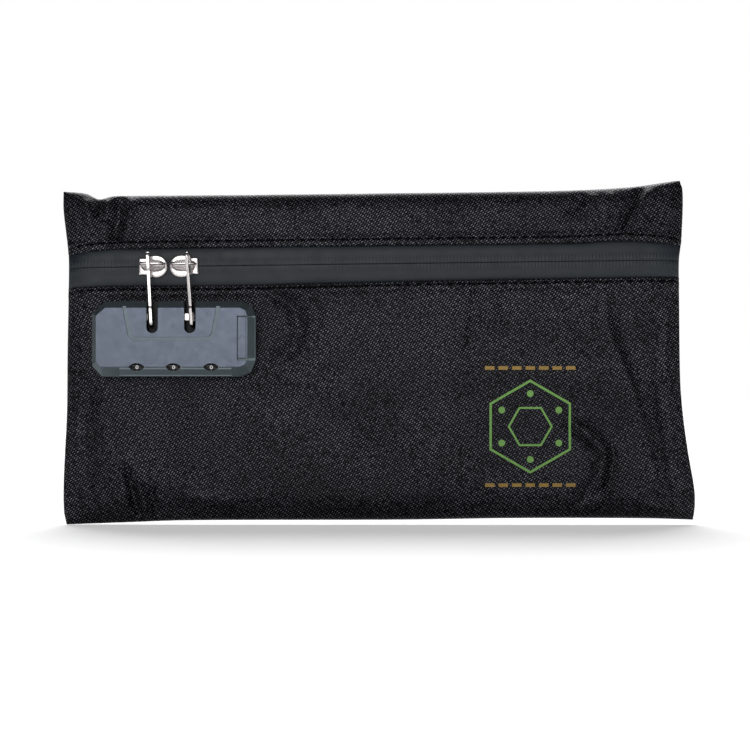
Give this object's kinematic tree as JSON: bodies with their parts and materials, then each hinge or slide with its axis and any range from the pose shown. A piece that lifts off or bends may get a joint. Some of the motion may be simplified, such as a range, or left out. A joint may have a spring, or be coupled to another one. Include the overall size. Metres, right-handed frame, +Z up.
{
  "type": "cash deposit bag",
  "caption": "Flat zippered fabric pouch whose head-to-head sliders are held by a combination lock, for carrying cash and deposits.",
  "frame": {"origin": "middle of the bag's bounding box, on its bottom edge", "axes": "+X to the right along the bag's length, the front faces -Y, +Z up"},
  "size_m": [0.28, 0.022, 0.153],
  "materials": {
    "bag_fabric": "woven black polyester with a light sheen",
    "lining": "plain thin grey-black lining",
    "zipper_tape": "satin polyurethane-coated tape",
    "zipper_coil": "nylon coil",
    "thread": "black polyester thread",
    "print": "flat screen print",
    "slider_metal": "polished nickel plate",
    "lock_cover": "fine-textured blue-grey plastic",
    "lock_base": "dark plastic",
    "lock_button": "fine-textured blue-grey plastic",
    "dial": "black plastic with white numbers",
    "sleeve": "turned brass",
    "steel": "zinc-plated steel"
  },
  "bodies": {
    "bag": {"front_panel": "bag_fabric", "upper_front_panel": "bag_fabric", "back_panel": "bag_fabric", "front_lining": "lining", "upper_lining": "lining", "back_lining": "lining", "seam_allowance_left": "lining", "seam_allowance_right": "lining", "zipper_tape_upper": "zipper_tape", "zipper_tape_lower": "zipper_tape", "zipper_coil_upper": "zipper_coil", "zipper_coil_lower": "zipper_coil", "topstitch_upper": "thread", "topstitch_lower": "thread", "printed_emblem": "print", "left_slider_body": "slider_metal", "left_slider_bridge": "slider_metal", "lock_cover": "lock_cover", "lock_base": "lock_base", "lock_backing_plate": "steel", "lock_screws": "steel", "dial_axle": "steel", "dial_detent_spring": "steel"},
    "right_slider": {"right_slider_body": "slider_metal", "right_slider_bridge": "slider_metal"},
    "left_pull": {"left_pull": "slider_metal"},
    "right_pull": {"right_pull": "slider_metal"},
    "number_wheel_1": {"dial_1": "dial", "cam_sleeve_1": "sleeve"},
    "number_wheel_2": {"dial_2": "dial", "cam_sleeve_2": "sleeve"},
    "number_wheel_3": {"dial_3": "dial", "cam_sleeve_3": "sleeve"},
    "bolt": {"lock_bolt": "steel"},
    "button": {"release_button": "lock_button"}
  },
  "joints": [
    {"name": "right_slider_travel", "type": "slide", "parent": "bag", "child": "right_slider", "axis": [0.9999, 0, 0.0131], "range_m": [0, 0.198]},
    {"name": "left_pull_lift", "type": "hinge", "parent": "bag", "child": "left_pull", "pos_m": [-0.1016, -0.0072, 0.116], "axis": [-1, 0, 0], "range_deg": [0, 160]},
    {"name": "right_pull_lift", "type": "hinge", "parent": "right_slider", "child": "right_pull", "pos_m": [-0.084, -0.0072, 0.116], "axis": [-1, 0, 0], "range_deg": [0, 160]},
    {"name": "dial_1_turn", "type": "hinge", "parent": "bag", "child": "number_wheel_1", "pos_m": [-0.1062, -0.0052, 0.0702], "axis": [1, 0, 0], "continuous": true},
    {"name": "dial_2_turn", "type": "hinge", "parent": "bag", "child": "number_wheel_2", "pos_m": [-0.0901, -0.0052, 0.0702], "axis": [1, 0, 0], "continuous": true},
    {"name": "dial_3_turn", "type": "hinge", "parent": "bag", "child": "number_wheel_3", "pos_m": [-0.0736, -0.0052, 0.0702], "axis": [1, 0, 0], "continuous": true},
    {"name": "release_button_slide", "type": "slide", "parent": "bag", "child": "button", "axis": [0, 0, 1], "range_m": [-0.0011, 0]},
    {"name": "lock_bolt_slide", "type": "slide", "parent": "bag", "child": "bolt", "axis": [1, 0, 0], "range_m": [0, 0.00264]}
  ],
  "couplings": [
    {"joint": "lock_bolt_slide", "follows": "release_button_slide", "ratio": -2.4}
  ]
}
